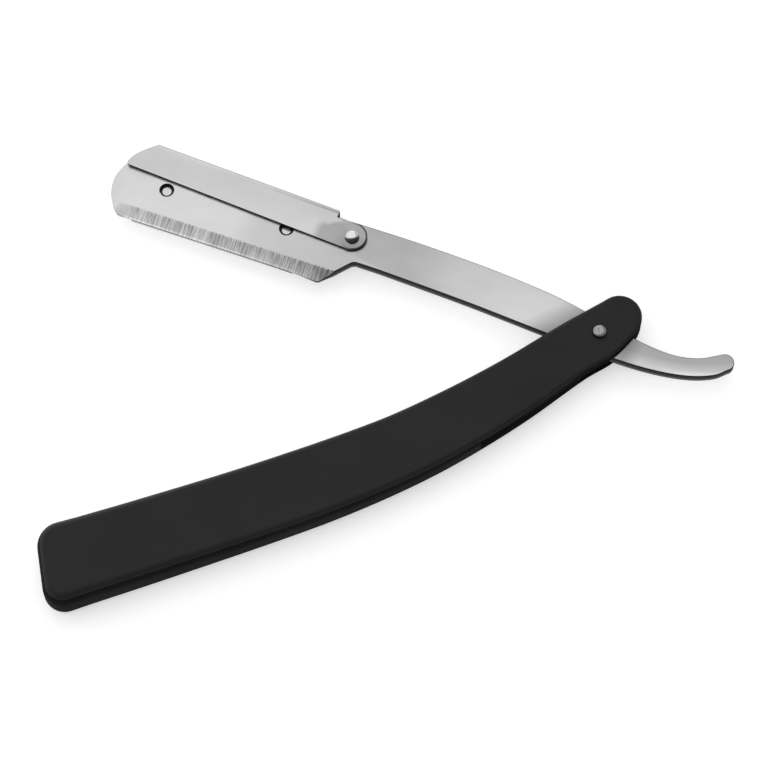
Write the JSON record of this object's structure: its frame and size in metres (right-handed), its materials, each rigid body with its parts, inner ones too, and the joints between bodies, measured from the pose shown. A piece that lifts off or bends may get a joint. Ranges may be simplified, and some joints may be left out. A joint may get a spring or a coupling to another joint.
{
  "type": "replaceable blade straight razor",
  "caption": "Folding straight razor with a slotted black moulded handle and a two-leaf steel arm whose swinging spine clip clamps a half blade.",
  "frame": {"origin": "on the arm's pivot axis, at the flat end of the pivot rivet's back head", "axes": "+Z is the pivot axis and points to the front face, -X runs along the handle to its butt, and the open arm stands on the +Y side"},
  "size_m": [0.1534, 0.1015, 0.0088],
  "materials": {
    "handle_plastic": "fine satin moulding",
    "leaf_steel": "satin polished",
    "clip_steel": "brushed along the fold",
    "rivet_steel": "tumbled",
    "blade_steel": "ground and polished"
  },
  "bodies": {
    "handle": {"handle": "handle_plastic", "pivot_rivet": "rivet_steel"},
    "arm": {"front_leaf": "leaf_steel", "back_leaf": "leaf_steel", "nose_stud": "rivet_steel", "heel_stud": "rivet_steel", "clip_rivet": "rivet_steel"},
    "clip": {"spine_clip": "clip_steel"},
    "blade": {"half_blade": "blade_steel"}
  },
  "joints": [
    {"name": "arm_swing", "type": "hinge", "parent": "handle", "child": "arm", "pos_m": [0, 0, 0.00341], "axis": [0, 0, -1], "range_deg": [-42, 240]},
    {"name": "clip_swing", "type": "hinge", "parent": "arm", "child": "clip", "pos_m": [-0.03845, 0.04311, 0.00341], "axis": [0, 0, -1], "range_deg": [0, 90]},
    {"name": "blade_slide", "type": "slide", "parent": "arm", "child": "blade", "axis": [-0.7034, -0.7108, 0], "range_m": [0, 0.004]}
  ]
}
